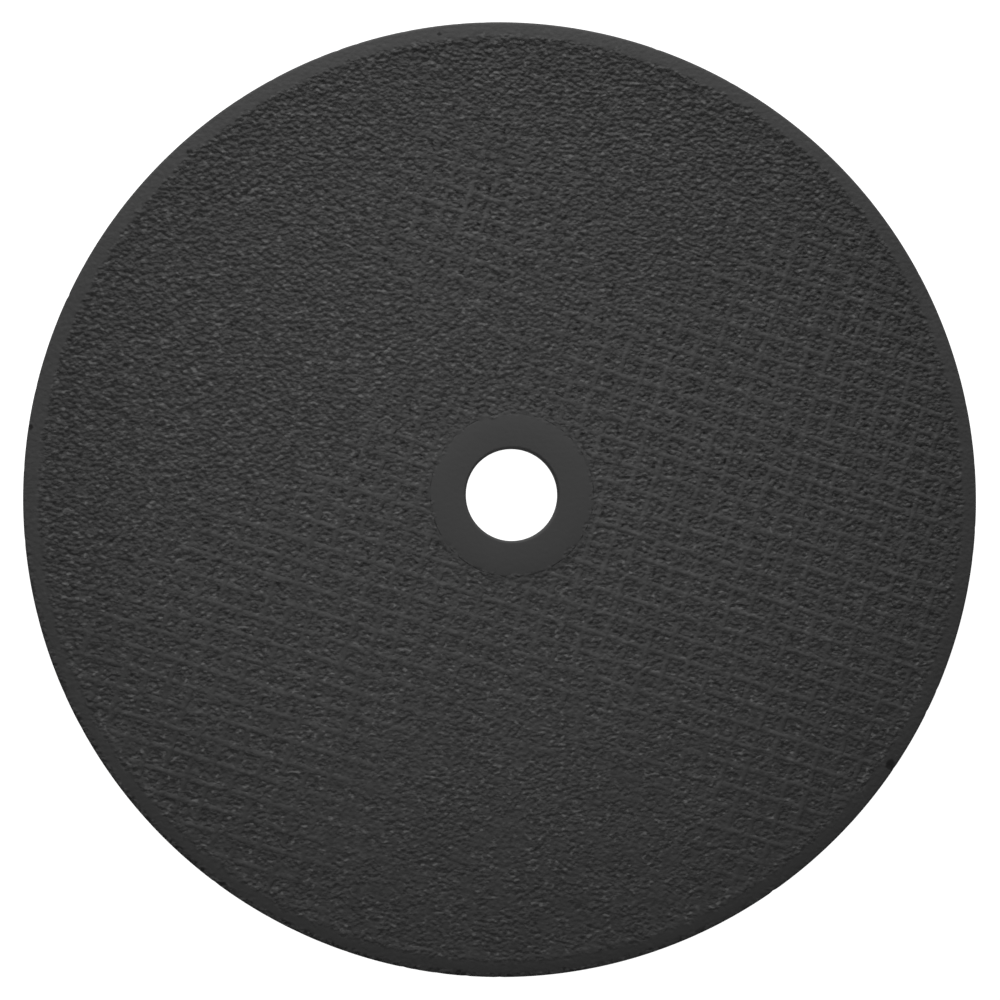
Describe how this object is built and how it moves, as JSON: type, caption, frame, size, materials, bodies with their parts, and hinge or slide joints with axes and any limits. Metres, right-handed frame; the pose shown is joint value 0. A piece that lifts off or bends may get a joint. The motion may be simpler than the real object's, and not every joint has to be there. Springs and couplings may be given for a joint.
{
  "type": "cut off wheel",
  "caption": "Thin flat abrasive disc with a mesh patterned face, a smooth convex border and a pressed steel ring round its bore; clamps on a grinder spindle to cut metal.",
  "frame": {"origin": "on the wheel's axis, in the plane of the back face that the wheel lies on", "axes": "+Z along the axis, out of the front face that carries the arbor ring; +X and +Y across the face"},
  "size_m": [0.23, 0.23, 0.003],
  "materials": {
    "abrasive": "matt dark grey resin and grain",
    "ring": "satin dark grey coating on pressed steel"
  },
  "bodies": {
    "root": {"abrasive_disc": "abrasive", "arbor_ring": "ring"}
  },
  "joints": []
}
